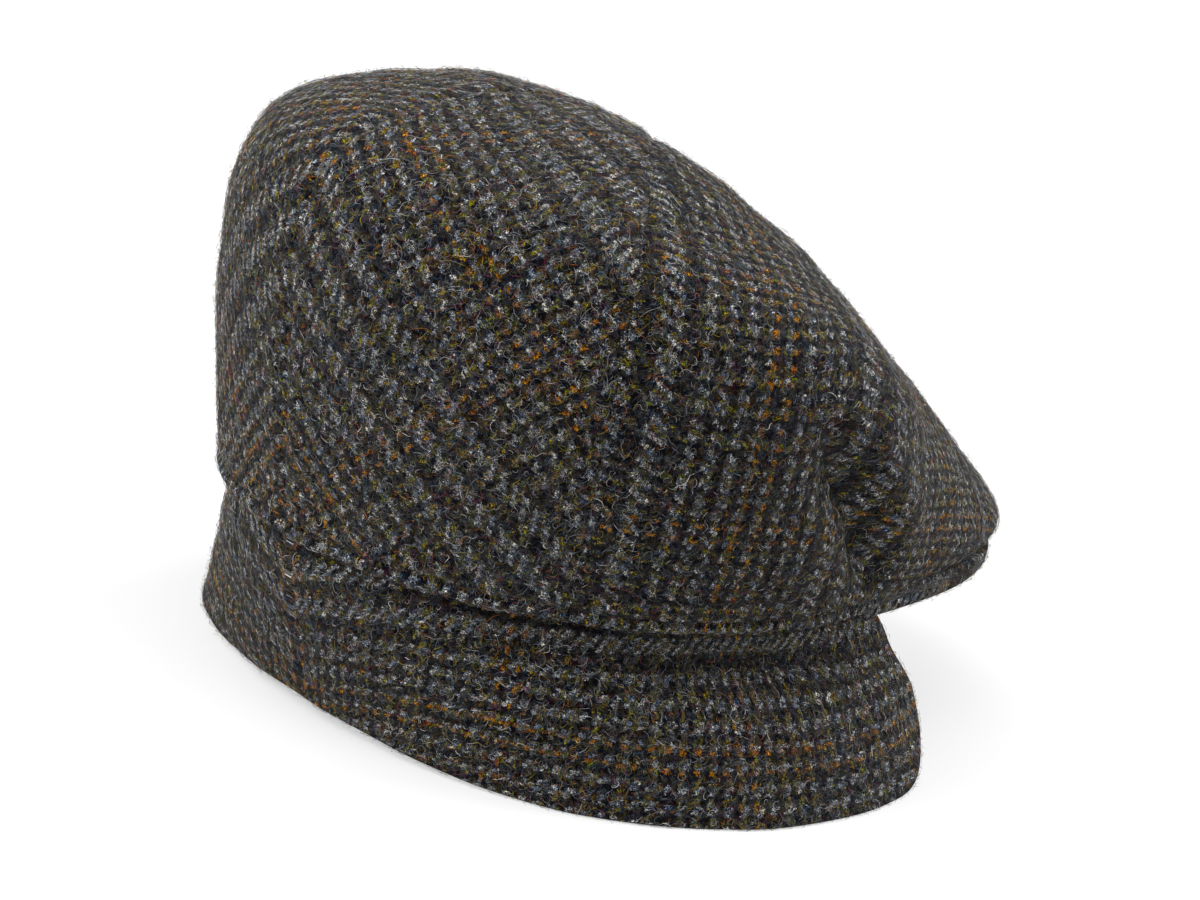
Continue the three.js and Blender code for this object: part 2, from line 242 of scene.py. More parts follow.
def tweed_material(name):
    """Brushed wool tweed: a two-and-two twill of charcoal, grey and olive heather yarns, four-and-four
    against two-and-two, with a rust overcheck. Yarns show as short slanting dashes, blurred by nap."""
    material = bpy.data.materials.new(name)
    material.use_nodes = True
    tree = material.node_tree
    tree.nodes.clear()

    def math_node(operation, *values):
        return add_node(tree, "ShaderNodeMath", {"operation": operation},
                        **{f"_{i}": v for i, v in enumerate(values)}).outputs[0]

    def mixed(factor, a, b, blend="MIX"):
        return add_node(tree, "ShaderNodeMix", {"data_type": "RGBA", "blend_type": blend},
                        _0=factor, _6=a, _7=b).outputs[2]

    def ramp(factor, *stops):
        made = add_node(tree, "ShaderNodeValToRGB", None, Fac=factor)
        made.color_ramp.interpolation = "CONSTANT"
        for place, code in stops[1:-1]:
            made.color_ramp.elements.new(place)
        for element, (place, code) in zip(made.color_ramp.elements, stops):
            element.position, element.color = place, linear(code)
        return made.outputs[0]

    threads = add_node(tree, "ShaderNodeUVMap", {"uv_map": "tweed"}).outputs[0]

    # the yarns wander by half a millimetre, and brushing has broken their edges
    def wander(scale, detail, amount, start):
        noise = add_node(tree, "ShaderNodeTexNoise", {"noise_dimensions": "2D"}, Vector=threads, Scale=scale,
                         Detail=detail, Roughness=0.65).outputs["Color"]
        noise = add_node(tree, "ShaderNodeVectorMath", {"operation": "SUBTRACT"}, _0=noise,
                         _1=(0.5, 0.5, 0.5)).outputs[0]
        return add_node(tree, "ShaderNodeVectorMath", {"operation": "MULTIPLY_ADD"}, _0=noise,
                        _1=(amount, amount, 0), _2=start).outputs[0]

    place = wander(1.7, 2.0, 2.2, wander(0.2, 2.0, 2.4, threads))
    axes = add_node(tree, "ShaderNodeSeparateXYZ", None, Vector=place)
    across_grey = math_node("DIVIDE", axes.outputs[0], YARN_GREY)
    across_olive = math_node("DIVIDE", axes.outputs[1], YARN_OLIVE)
    i, j = math_node("FLOOR", across_grey), math_node("FLOOR", across_olive)
    fu, fv = math_node("SUBTRACT", across_grey, i), math_node("SUBTRACT", across_olive, j)
    step = math_node("FLOORED_MODULO", math_node("SUBTRACT", i, j), 4.0)
    grey_up = math_node("LESS_THAN", step, 1.5)

    # brushing has covered the rust yarns in places
    worn = add_node(tree, "ShaderNodeTexNoise", {"noise_dimensions": "2D"}, Vector=threads, Scale=0.11,
                    Detail=2.0).outputs["Fac"]
    worn = add_node(tree, "ShaderNodeMapRange", None, Value=worn, From_Min=0.34, From_Max=0.5,
                    To_Min=0.25).outputs[0]

    def check(number, sett):
        k = math_node("FLOORED_MODULO", number, float(sett))
        wide = math_node("LESS_THAN", k, SETT_WIDE - 0.5)
        four = math_node("LESS_THAN", math_node("FLOORED_MODULO", k, 8.0), 3.5)
        two = math_node("GREATER_THAN", math_node("FLOORED_MODULO", k, 4.0), 1.5)
        dark = add_node(tree, "ShaderNodeMix", {"data_type": "FLOAT"}, _0=wide, _2=two, _3=four).outputs[0]
        rust = math_node("ABSOLUTE", math_node("SUBTRACT", k, float((sett + SETT_WIDE) // 2)))
        rust = math_node("LESS_THAN", math_node("ABSOLUTE", math_node("SUBTRACT", rust, 2.0)), 0.5)
        return dark, math_node("MULTIPLY", rust, worn)

    dark_grey, rust_grey = check(i, SETT_GREY)
    dark_olive, rust_olive = check(j, SETT_OLIVE)

    # carded fibres: flecks about 0.3 mm wide and 1.2 mm long that lie along each yarn and curl
    curl = wander(0.9, 1.5, 3.0, threads)

    def fleck(size):
        stretched = add_node(tree, "ShaderNodeVectorMath", {"operation": "DIVIDE"}, _0=curl, _1=size).outputs[0]
        cells = add_node(tree, "ShaderNodeTexVoronoi", {"voronoi_dimensions": "2D"}, Vector=stretched, Scale=1.0)
        return add_node(tree, "ShaderNodeSeparateColor", None, Color=cells.outputs["Color"]).outputs

    grey_fleck, olive_fleck = fleck((0.3, 1.2, 1.0)), fleck((1.2, 0.3, 1.0))
    pale = ramp(grey_fleck[0], (0.0, "#78808e"), (0.2, "#a1a5a8"), (0.4, "#424855"), (0.54, "#b7b4ad"),
                (0.68, "#242631"), (0.8, "#6c6b6b"), (0.87, "#4a5f7d"), (0.92, "#cac7bf"), (1.0, "#cac7bf"))
    olive = ramp(olive_fleck[0], (0.0, "#454642"), (0.18, "#80843e"), (0.32, "#1c1d28"), (0.48, "#626874"),
                 (0.58, "#9a8a3a"), (0.67, "#462c28"), (0.75, "#2b494e"), (0.82, "#86622a"), (0.89, "#131219"),
                 (0.96, "#a2a094"), (1.0, "#a2a094"))
    rust = ramp(olive_fleck[1], (0.0, "#a5703a"), (0.3, "#684a32"), (0.46, "#b28a40"), (0.66, "#4c3d2e"),
                (0.8, "#b8984a"), (0.92, "#7a4640"), (1.0, "#7a4640"))
    coal = ramp(grey_fleck[1], (0.0, "#0d0d15"), (0.35, "#12141f"), (0.58, "#07080c"), (0.74, "#1d1f2b"),
                (0.84, "#1e1424"), (0.9, "#101c2c"), (0.95, "#2b151d"), (1.0, "#2b151d"))
    grey_yarn = mixed(rust_grey, mixed(dark_grey, pale, coal), rust)
    olive_yarn = mixed(rust_olive, mixed(dark_olive, olive, coal), rust)
    colour = mixed(grey_up, olive_yarn, grey_yarn)

    # each float is a rounded dash over two crossings; between the floats the colour falls to charcoal, partly
    # the dark yarn beneath and partly painted shade in the crevices between yarns
    def hump(offset, cross):
        run = math_node("DIVIDE", math_node("FLOORED_MODULO", offset, 4.0), 2.0)
        long = math_node("SINE", math_node("MULTIPLY", math_node("MINIMUM", run, 1.0), math.pi))
        wide = math_node("SINE", math_node("MULTIPLY", cross, math.pi))
        return math_node("POWER", math_node("MULTIPLY", math_node("MAXIMUM", long, 0.0), wide), 0.5)

    grey_hump = hump(math_node("ADD", math_node("SUBTRACT", across_olive, i), 1.0), fu)
    olive_hump = hump(math_node("SUBTRACT", math_node("SUBTRACT", across_grey, j), 2.0), fv)
    relief = add_node(tree, "ShaderNodeMix", {"data_type": "FLOAT"}, _0=grey_up, _2=olive_hump,
                      _3=grey_hump).outputs[0]
    ragged = add_node(tree, "ShaderNodeTexNoise", {"noise_dimensions": "2D"}, Vector=threads, Scale=1.6,
                      Detail=3.0, Roughness=0.7).outputs["Fac"]
    shown = add_node(tree, "ShaderNodeMapRange", {"interpolation_type": "SMOOTHSTEP"},
                     Value=math_node("MULTIPLY_ADD", ragged, 1.3, relief), From_Min=0.7, From_Max=1.45,
                     To_Min=0.1, To_Max=1.0).outputs[0]
    # painted shade: away from the middle of each float the colour goes to charcoal, partly the dark ground yarn
    # and partly shade painted into the crevices
    colour = mixed(shown, coal, colour)

    # nap: curling fibres, drawn as the contour lines of slow noise, pale, tinted and dark
    def curls(scale, seed, count, width):
        shifted = add_node(tree, "ShaderNodeVectorMath", {"operation": "ADD"}, _0=threads,
                           _1=(seed, 1.7 * seed, 0)).outputs[0]
        field = add_node(tree, "ShaderNodeTexNoise", {"noise_dimensions": "2D"}, Vector=shifted, Scale=scale,
                         Detail=1.5, Roughness=0.6, Distortion=0.6).outputs["Fac"]
        part = math_node("FRACT", math_node("MULTIPLY", field, count))
        ring = math_node("ABSOLUTE", math_node("SUBTRACT", part, 0.5))
        line = add_node(tree, "ShaderNodeMapRange", None, Value=ring, From_Min=0.0, From_Max=width,
                        To_Min=1.0, To_Max=0.0).outputs[0]
        patch = add_node(tree, "ShaderNodeTexNoise", {"noise_dimensions": "2D"}, Vector=shifted,
                         Scale=0.8 * scale, Detail=1.0).outputs["Fac"]
        patch = add_node(tree, "ShaderNodeMapRange", None, Value=patch, From_Min=0.42, From_Max=0.6).outputs[0]
        return line, math_node("MULTIPLY", line, patch)

    strand = add_node(tree, "ShaderNodeMapRange", None, Value=curls(0.95, 19.0, 5.5, 0.36)[0], To_Min=0.12,
                      To_Max=1.55).outputs[0]
    colour = mixed(1.0, colour, strand, "MULTIPLY")
    pale_nap = curls(0.55, 3.0, 11.0, 0.2)[1]
    tint_nap = curls(0.6, 41.0, 10.0, 0.2)[1]
    dark_nap = curls(0.5, 77.0, 10.0, 0.22)[1]
    tint = ramp(fleck((2.2, 2.2, 1.0))[2], (0.0, "#68642e"), (0.3, "#8a7b2c"), (0.5, "#7b7b7d"),
                (0.64, "#98702c"), (0.8, "#3c5f6a"), (0.9, "#74304c"), (1.0, "#74304c"))
    colour = mixed(math_node("MULTIPLY", dark_nap, 0.7), colour, linear("#141318"))
    colour = mixed(math_node("MULTIPLY", tint_nap, 0.5), colour, tint)
    colour = mixed(math_node("MULTIPLY", pale_nap, 0.4), colour, linear("#8d8f93"))
    # the raised fibres shade one another, which deepens the colours
    colour = add_node(tree, "ShaderNodeGamma", None, Color=colour, Gamma=NAP_CONTRAST).outputs[0]
    colour = add_node(tree, "ShaderNodeHueSaturation", None, Saturation=NAP_DEPTH, Value=NAP_LIFT,
                      Color=colour).outputs[0]

    height = math_node("ADD", math_node("MULTIPLY", relief, 0.6), math_node("MULTIPLY", pale_nap, 0.5))
    height = math_node("ADD", height, math_node("MULTIPLY", tint_nap, 0.4))
    height = math_node("ADD", height, math_node("MULTIPLY", ragged, 0.5))
    bump = add_node(tree, "ShaderNodeBump", None, Strength=0.9, Distance=0.0005, Height=height)
    shader = add_node(tree, "ShaderNodeBsdfPrincipled", None, Base_Color=colour, Roughness=0.96,
                      Normal=bump.outputs[0])
    shader.inputs["Specular IOR Level"].default_value = 0.05
    shader.inputs["Sheen Weight"].default_value = 0.05
    shader.inputs["Sheen Roughness"].default_value = 0.3
    add_node(tree, "ShaderNodeOutputMaterial", None, Surface=shader.outputs[0])
    return material


tweed = tweed_material("brushed_wool_tweed")

# where the threads of the front panel and of the hem start, and how they ease over the crown
FRONT_PHASE, FRONT_MIDDLE, FRONT_HELD, FRONT_ROUNDS = np.array([46.4, 13.8]), np.radians(62), 92.0, 1200
HEM_PHASE, HEM_REACH = np.array([40.0, 0.0]), 92.0


def evened(points, z, held, rounds):
    """Evens out the stretch of a grid's thread coordinates u + iv, as cloth eases over a dome: in each
    round every free point goes to the mean of the places that its eight neighbours ask for, where each
    asks for the true length of the edge between the two, turned by its own best-fitting angle."""
    n = outward(points)
    first = np.gradient(points, axis=1)
    first[0] = first[1]
    first -= (first * n).sum(-1, keepdims=True) * n
    first /= np.linalg.norm(first, axis=-1, keepdims=True)
    second = np.cross(first, n)
    rows, columns = z.shape
    pairs, count = [], np.zeros(z.shape)
    for r, c in ((0, 1), (1, 0), (1, 1), (1, -1)):
        near = np.s_[:rows - r, max(0, -c):columns - max(0, c)]
        far = np.s_[r:, max(0, c):columns + min(0, c)]
        edge = points[far] - points[near]
        size = np.linalg.norm(edge, axis=-1)
        for here, there, way in ((near, far, 1), (far, near, -1)):
            w = (edge * first[here]).sum(-1) + 1j * (edge * second[here]).sum(-1)
            pairs.append((here, there, way * w * size / np.maximum(np.abs(w), 1e-9)))
            count[here] += 1
    for _ in range(rounds):
        spin = np.zeros_like(z)
        for here, there, w in pairs:
            spin[here] += np.conj(w) * (z[there] - z[here])
        spin /= np.maximum(np.abs(spin), 1e-9)
        want = np.zeros_like(z)
        for here, there, w in pairs:
            want[here] += z[there] - spin[here] * w / 2
            want[there] += spin[here] * w / 2
        z = np.where(held, z, want / count)
    return z


def front_threads(angle, points):
    """Thread coordinates of the front panel, alike on both sides. Each meridian is laid flat at its turn
    from a middle meridian times the upward part of the normal, on the wall from the rim up and on top from
    the crown's top down. The side wall keeps these, and the rest of the panel is evened out from it."""
    half = angle.shape[1] // 2 + 1
    turn, grid = angle[:, :half], points[:, :half]
    up = outward(points)[:, :half, 2]
    heading = (turn - FRONT_MIDDLE) * up
    heading = (heading[1:] + heading[:-1]) / 2
    step = np.linalg.norm(np.diff(grid, axis=0), axis=-1)
    start = np.zeros((1, half))
    across = np.vstack([start, np.cumsum(step * np.sin(heading), 0)])
    down = np.vstack([start, np.cumsum(step * np.cos(heading), 0)])
    rim = np.concatenate([[0], np.cumsum(np.linalg.norm(np.diff(grid[-1], axis=0), axis=-1))])
    rim = rim - np.interp(FRONT_MIDDLE, turn[0], rim)
    wall = np.clip((0.95 - up) / 0.4, 0, 1)
    wall = wall * wall * (3 - 2 * wall)
    u = wall * (rim + across - across[-1]) + (1 - wall) * across
    v = wall * (down - down[-1]) + (1 - wall) * (down - np.interp(FRONT_MIDDLE, turn[0], down[-1]))
    z = evened(grid, u + 1j * v, (np.degrees(turn) < FRONT_HELD) & (wall > 0.97), FRONT_ROUNDS)
    uv = np.stack([z.real, z.imag], -1)
    return np.concatenate([uv, uv[:, -2::-1]], 1)


def hem_threads(angle, from_rim):
    """Thread coordinates of the hem's turned band: the grey yarns run along the rim."""
    return np.stack([from_rim, angle * HEM_REACH], -1)


# Loose wool: the curling fibres that brushing has raised out of every panel. They lie close on the cloth,
# and a few stand out at its edges.
FIBRE_WIDTH, FIBRE_POINTS, FIBRE_SHORTEST, FIBRE_LONGEST = 0.085, 6, 1.2, 7.0
FIBRE_CURL, FIBRE_WAVE = 3.2, 0.7  # usual turn along a fibre and usual wave on it, in radians
FIBRE_LOW, FIBRE_RISE, FIBRE_LYING, FIBRE_STAND = 0.12, 0.35, 0.84, 0.9  # heights, and the share that lies
FIBRE_COLOURS = np.array([linear(code) for code in (
    "#a5a3a2", "#767b84", "#cac7c4", "#515660", "#707228",
    "#978420", "#a85f22", "#1a1b22", "#3c6480", "#7e2c4c")])
FIBRE_SHARES = np.array([15, 24, 5, 22, 8, 7, 6, 6, 3, 4]) / 100.0

# loose wool fibre: dull single fibres in the yarns' own dyes, mostly greys
wool_fibre = bpy.data.materials.new("loose_wool_fibre")
wool_fibre.use_nodes = True
shader = wool_fibre.node_tree.nodes["Principled BSDF"]
shader.inputs["Roughness"].default_value = 0.85
shader.inputs["Specular IOR Level"].default_value = 0.2
tone = add_node(wool_fibre.node_tree, "ShaderNodeAttribute", {"attribute_name": "fibre_colour"})
wool_fibre.node_tree.links.new(tone.outputs["Color"], shader.inputs["Base Color"])


def loose_fibres(name, grid, count, seed):
    """Ribbons along curling paths: middles spread by area over a grid of points; the heading turns at a
    steady rate with a wave on it, the height is a half sine, and the ribbon tapers to both ends."""
    rng = np.random.default_rng(seed)
    a, down, across = grid[:-1, :-1], grid[1:, :-1] - grid[:-1, :-1], grid[:-1, 1:] - grid[:-1, :-1]
    face = np.cross(down, across).reshape(-1, 3)
    area = np.linalg.norm(face, axis=-1)
    cell = rng.choice(len(area), count, p=area / area.sum())
    p, q = rng.random((2, count, 1))
    root = a.reshape(-1, 3)[cell] + p * down.reshape(-1, 3)[cell] + q * across.reshape(-1, 3)[cell]
    normal = face[cell] / area[cell, None]
    first = across.reshape(-1, 3)[cell]
    first /= np.linalg.norm(first, axis=-1, keepdims=True)
    second = np.cross(normal, first)
    s = np.linspace(0, 1, FIBRE_POINTS)
    length = np.clip(rng.lognormal(0.9, 0.4, (count, 1)), FIBRE_SHORTEST, FIBRE_LONGEST)
    heading = (rng.random((count, 1)) * 2 * np.pi + rng.normal(0, FIBRE_CURL, (count, 1)) * s
               + rng.normal(0, FIBRE_WAVE, (count, 1)) * np.sin(2 * np.pi * s + rng.random((count, 1)) * 6.3))
    step = length / (FIBRE_POINTS - 1)
    x, y = np.cumsum(step * np.cos(heading), 1), np.cumsum(step * np.sin(heading), 1)
    x, y = x - x.mean(1, keepdims=True), y - y.mean(1, keepdims=True)
    stand = rng.random((count, 1))
    upright = np.clip(stand - FIBRE_LYING, 0, 1) / (1 - FIBRE_LYING)
    stand = FIBRE_LOW + FIBRE_RISE * stand + FIBRE_STAND * upright
    z = stand * np.sin(np.pi * (0.08 + 0.84 * s)) + 0.1
    first, second, normal = first[:, None], second[:, None], normal[:, None]
    path = root[:, None] + x[..., None] * first + y[..., None] * second + z[..., None] * normal
    along = np.gradient(path, axis=1)
    along /= np.linalg.norm(along, axis=-1, keepdims=True)
    flat = np.cross(normal, along)
    flat /= np.linalg.norm(flat, axis=-1, keepdims=True)
    tilt = rng.uniform(-1.2, 1.2, (count, 1, 1))
    wide = np.cos(tilt) * flat + np.sin(tilt) * np.cross(along, flat)
    half = FIBRE_WIDTH / 2 * rng.uniform(0.7, 1.25, (count, 1)) * (0.35 + 0.65 * np.sin(np.pi * s))
    points = np.stack([path - half[..., None] * wide, path + half[..., None] * wide], 2)
    points[..., 2] = np.maximum(points[..., 2], 0.02)
    k = np.arange(count * FIBRE_POINTS * 2).reshape(count, FIBRE_POINTS, 2)
    faces = np.stack([k[:, :-1, 0], k[:, 1:, 0], k[:, 1:, 1], k[:, :-1, 1]], -1).reshape(-1, 4)
    mesh = bpy.data.meshes.new(name)
    mesh.vertices.add(points.size // 3)
    mesh.vertices.foreach_set("co", (points / 1000).astype(np.float32).ravel())
    mesh.loops.add(faces.size)
    mesh.polygons.add(len(faces))
    mesh.loops.foreach_set("vertex_index", faces.astype(np.int32).ravel())
    mesh.polygons.foreach_set("loop_start", np.arange(0, faces.size, 4, dtype=np.int32))
    mesh.update(calc_edges=True)
    kind = rng.choice(len(FIBRE_SHARES), count, p=FIBRE_SHARES)
    tones = np.repeat(FIBRE_COLOURS[kind] * rng.uniform(0.15, 1.0, (count, 1)), FIBRE_POINTS * 2, axis=0)
    colours = mesh.attributes.new("fibre_colour", "FLOAT_COLOR", "POINT")
    colours.data.foreach_set("color", tones.astype(np.float32).ravel())
    side = math.ceil(math.sqrt(count))
    box = np.stack([np.arange(count) % side, np.arange(count) // side], -1)[:, None, None] + 0.1
    inside = np.stack(np.broadcast_arrays(np.linspace(0, 0.8, FIBRE_POINTS)[:, None], np.array([0.0, 0.8])), -1)
    bake = ((box + inside) / side).reshape(-1, 2)
    mesh.uv_layers.new(name="OFBake").data.foreach_set("uv", bake[faces.ravel()].astype(np.float32).ravel())
    mesh.shade_smooth()
    mesh.materials.append(wool_fibre)
    piece = bpy.data.objects.new(name, mesh)
    bpy.context.scene.collection.objects.link(piece)
    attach(piece, "root")
    return piece


front_angles = np.radians(np.linspace(BACK_SEAM, 360 - BACK_SEAM, 237))
angle, t, from_rim = crown_rows(front_angles)
base = crown_surface(angle, t)
normal = outward(base)
reach = np.hypot(base[..., 0], base[..., 1] - HEAD_CENTRE_Y)
from_seam = reach * np.minimum(angle - front_angles[0], front_angles[-1] - angle)
outer = base + normal * crown_relief(angle, base, from_rim, from_seam)[..., None]
inner = base - normal * (CROWN_CLOTH - edge_round(from_rim, 0.9))[..., None]
uv = front_threads(angle, crown_surface(angle, t, 0.0)) + FRONT_PHASE
in_hem = np.arange(len(t)) >= HEM_FIRST_ROW
turned = np.degrees(np.minimum(angle, 2 * np.pi - angle)) < HEM_END
uv = np.where((in_hem[:, None] & turned)[..., None], hem_threads(angle, from_rim) + HEM_PHASE, uv)
crown_front = cloth_piece("crown_front_cloth", outer, inner, uv, uv, tweed)
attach(crown_front, "root")
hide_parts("crown_front")
middle = outer.shape[1] // 2
front_wool = [loose_fibres("crown_right_wool", outer[:, :middle + 1], 18000, 11),
              loose_fibres("crown_left_wool", outer[:, middle:], 14500, 16)]

# Two back panels of the crown: the same tweed, cut on the bias and mirrored, so that their checks meet in a
# chevron at the centre-back seam. Each is sewn to the front panel along a rear seam and hemmed below.
BACK_PANEL_SHIFT = np.array([0.03, 0.1, 0.0])
BACK_PHASE, BACK_STRETCH = np.array([52.4, 13.9]), np.array([-1.1, 1.0])
for hand, side, fibres, seed in (("right", 1, 12500, 12), ("left", -1, 11000, 13)):
    back_angles = np.radians(np.linspace(0, BACK_SEAM, 48))[::side] * side
    angle, t, from_rim = crown_rows(back_angles)
    base = crown_surface(angle, t)
    normal = outward(base)
    reach = np.hypot(base[..., 0], base[..., 1] - HEAD_CENTRE_Y)
    from_seam = reach * np.minimum(np.abs(angle), np.radians(BACK_SEAM) - np.abs(angle))
    shift = BACK_PANEL_SHIFT * (-side, 1, 0)
    outer = base + normal * crown_relief(angle, base, from_rim, from_seam)[..., None] + shift
    inner = base - normal * (CROWN_CLOTH - edge_round(from_rim, 0.9))[..., None] + shift
    p = reach * (np.abs(angle) - np.radians(BACK_SEAM / 2))
    uv = np.stack([p + from_rim, p - from_rim], -1) / math.sqrt(2) * BACK_STRETCH + BACK_PHASE
    in_hem = np.arange(len(t)) >= HEM_FIRST_ROW
    uv = np.where(in_hem[:, None, None], hem_threads(np.abs(angle), from_rim) + HEM_PHASE, uv)
    panel = cloth_piece(f"crown_back_{hand}_cloth", outer, inner, uv, uv, tweed)
    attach(panel, "root")
    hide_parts(f"crown_back_{hand}")
    wool = loose_fibres(f"crown_back_{hand}_wool", outer, fibres, seed)

# Peak: a stiff, shallow crescent covered in the same tweed on the straight grain, sewn under the front of
# the crown, which hangs over it so that only its padded, rounded edge shows.
PEAK_HALF_ANGLE, PEAK_LENGTH, PEAK_ROOT, PEAK_TAPER = 66.0, 30.0, 2.5, 1.8
PEAK_THICK_ROOT, PEAK_THICK_EDGE, PEAK_END_THIN, PEAK_GAP, PEAK_EDGE_THIN = 2.8, 5.4, 0.45, 0.5, 0.3
PEAK_LIFT_MIDDLE, PEAK_LIFT_ENDS, PEAK_LIFT_POWER = 3.4, 2.8, 1.8
PEAK_PAD, PEAK_PAD_FROM, PEAK_PAD_OVER = 3.3, 0.35, 0.35  # mm, and shares of the half angle


def peak_surface(angle, t, face):
    """Upper (+1) or under (-1) face: out from the rim by a length that tapers to both ends. The top rises
    outwards by a power of t, the thickness grows to the padded edge, most of all towards both ends, where
    it fills the space under the crown, and the edge is rounded."""
    turn = (angle - np.pi) / np.radians(PEAK_HALF_ANGLE)
    length = PEAK_ROOT * (1 - 0.9 * turn**12) + PEAK_LENGTH * np.maximum(0, 1 - turn**2) ** PEAK_TAPER
    out = length * t
    edge = np.maximum(0, 1 - (length - out) / (PEAK_THICK_EDGE / 2))
    pad = np.clip((np.abs(turn) - PEAK_PAD_FROM) / PEAK_PAD_OVER, 0, 1)
    pad = PEAK_PAD * pad * pad * (3 - 2 * pad) * t**0.9
    thick = (PEAK_THICK_ROOT + (PEAK_THICK_EDGE - PEAK_THICK_ROOT) * t) * (1 - PEAK_END_THIN * turn**4) + pad
    half = thick / 2 * (PEAK_EDGE_THIN + (1 - PEAK_EDGE_THIN) * np.sqrt(1 - edge**2))
    lift = (PEAK_LIFT_MIDDLE + PEAK_LIFT_ENDS * np.abs(turn)) * (1 - turn**8)
    top = rim_rise(angle) - PEAK_GAP + lift * t**PEAK_LIFT_POWER + pad
    return around(angle, rim_reach(angle) + out, top - thick / 2 + face * half)


peak_angles = np.radians(np.linspace(180 - PEAK_HALF_ANGLE, 180 + PEAK_HALF_ANGLE, 140))
angle, t = np.meshgrid(peak_angles, 1 - (1 - np.linspace(0, 1, 36)) ** 1.8)
upper, under = peak_surface(angle, t, 1), peak_surface(angle, t, -1)
uv = upper[..., :2]
peak = cloth_piece("peak_cloth", upper, under, uv, under[..., :2] + (0, 40), tweed)
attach(peak, "root")
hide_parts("peak")
loose_fibres("peak_wool", np.concatenate([upper, under[:12:-1]]), 4500, 14)

# Ear and neck flap: one curved strip of the same tweed on the straight grain, doubled with a turned lower
# edge, sewn inside the crown's hem from temple to temple and turned down, so the cap stands on it.
FLAP_FLARE = [-18.0, 1.5, 19.0, 26.0, 26.0]
FLAP_CLOTH, SEAT_GAP = 2.6, 0.35
FLAP_END, FLAP_LEAN, FLAP_LEAN_DOWN, FLAP_LEAN_ROUND = 120.5, 14.5, 0.7, 5
FLAP_CORNER, FLAP_TUCK, FLAP_CURVE, FLAP_EASE_OUT, FLAP_EASE_OVER = 26.0, 6.0, 1.1, 2.2, 7.0
FLAP_BACK_LIFT, FLAP_BACK_ANGLE = 2.6, 55.0
DIMPLE_ANGLE, DIMPLE_DROP, DIMPLE_DEPTH = 82.0, 11.2, 8.2
DIMPLE_WIDE, DIMPLE_HIGH, DIMPLE_ARC = 44.0, 7.8, 88.0
FLAP_RUMPLES = ((0.3, (0.21, 0.0, 0.1, 0.0), (0.0, 0.17, 0.0, 1.1)),
                (0.22, (0.0, 0.12, 0.3, 0.0), (0.0, 0.0, 0.0, math.pi / 2)))
FLAP_PHASE, FLAP_STRETCH, FLAP_REACH = np.array([25.3, 49.3]), 1.18, 97.0
FLAP_SMOOTH, FLAP_BEND, FLAP_BEND_END = 10.0, 15.0, 45.0


def flap_edge(angle):
    """Height of the lower edge: on the ground at the sides, clear at the back, rounded at both ends."""
    turn = np.abs(np.degrees(angle))
    end = np.full((1, 1), np.radians(FLAP_END))
    corner_angle = np.degrees(FLAP_CORNER / (rim_reach(end) + even_series(FLAP_FLARE, end)))
    q = np.clip((turn - (FLAP_END - corner_angle)) / corner_angle, 0, 1)
    back = np.cos(np.minimum(1, turn / FLAP_BACK_ANGLE) * np.pi / 2) ** 2
    return FLAP_CORNER * (1 - np.sqrt(1 - q**2)) + FLAP_BACK_LIFT * back


def flap_surface(angle, t, inset):
    """Face of the flap: reach grows from the rim by an eased step and a flare that goes with a power of
    the fall; its two ends lean forward; a soft hollow lies under the hem on each side."""
    top = RIM_HEIGHT + rim_rise(angle) + FLAP_TUCK
    height = top + (flap_edge(angle) - top) * t
    drop = np.maximum(0, top - FLAP_TUCK - height)
    fall = drop / (top - FLAP_TUCK)
    ease = FLAP_EASE_OUT * (1 - np.exp(-((drop / FLAP_EASE_OVER) ** 2)))
    a = np.radians(np.abs(np.degrees(angle)) - DIMPLE_ANGLE) * DIMPLE_ARC / DIMPLE_WIDE
    dimple = DIMPLE_DEPTH * np.exp(-a**2 - ((drop - DIMPLE_DROP) / DIMPLE_HIGH) ** 2)
    flare = ease + even_series(FLAP_FLARE, angle) * fall**FLAP_CURVE
    reach = rim_reach(angle) - CROWN_CLOTH - SEAT_GAP + flare - dimple - inset
    lean = np.radians(FLAP_LEAN) * fall**FLAP_LEAN_DOWN * (angle / np.radians(FLAP_END)) ** FLAP_LEAN_ROUND
    return around(angle + lean, reach, height - RIM_HEIGHT), drop


crowd = np.radians(80)  # how far the columns crowd towards both ends
flap_angles = np.radians(FLAP_END) * np.sin(crowd * np.linspace(-1, 1, 240)) / np.sin(crowd)
flap_rows = np.concatenate([np.linspace(0, 0.93, 34), np.linspace(0.93, 1, 12)[1:]])
angle, t = np.meshgrid(flap_angles, flap_rows)
base, drop = flap_surface(angle, t, 0)
lower = np.linalg.norm(base - base[-1:], axis=-1)
right_end, left_end = (np.linalg.norm(base - base[:, k, None], axis=-1) for k in (0, -1))
rounded = edge_round(np.minimum(lower, np.minimum(right_end, left_end)), 1.25)
rumple = rumpled(base, FLAP_RUMPLES) * np.clip(drop / FLAP_SMOOTH, 0, 1)
outer = flap_surface(angle, t, rounded - rumple)[0]
inner = flap_surface(angle, t, FLAP_CLOTH - rounded)[0]
bend = FLAP_BEND * np.clip(1 - np.abs(np.degrees(angle)) / FLAP_BEND_END, 0, 1) ** 2
uv = np.stack([FLAP_STRETCH * (drop - bend), -FLAP_REACH * np.abs(angle)], -1) + FLAP_PHASE
earflap = cloth_piece("earflap_cloth", outer, inner, uv, uv, tweed)
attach(earflap, "root")
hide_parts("earflap")
wool = loose_fibres("earflap_wool", outer[6:], 16500, 15)

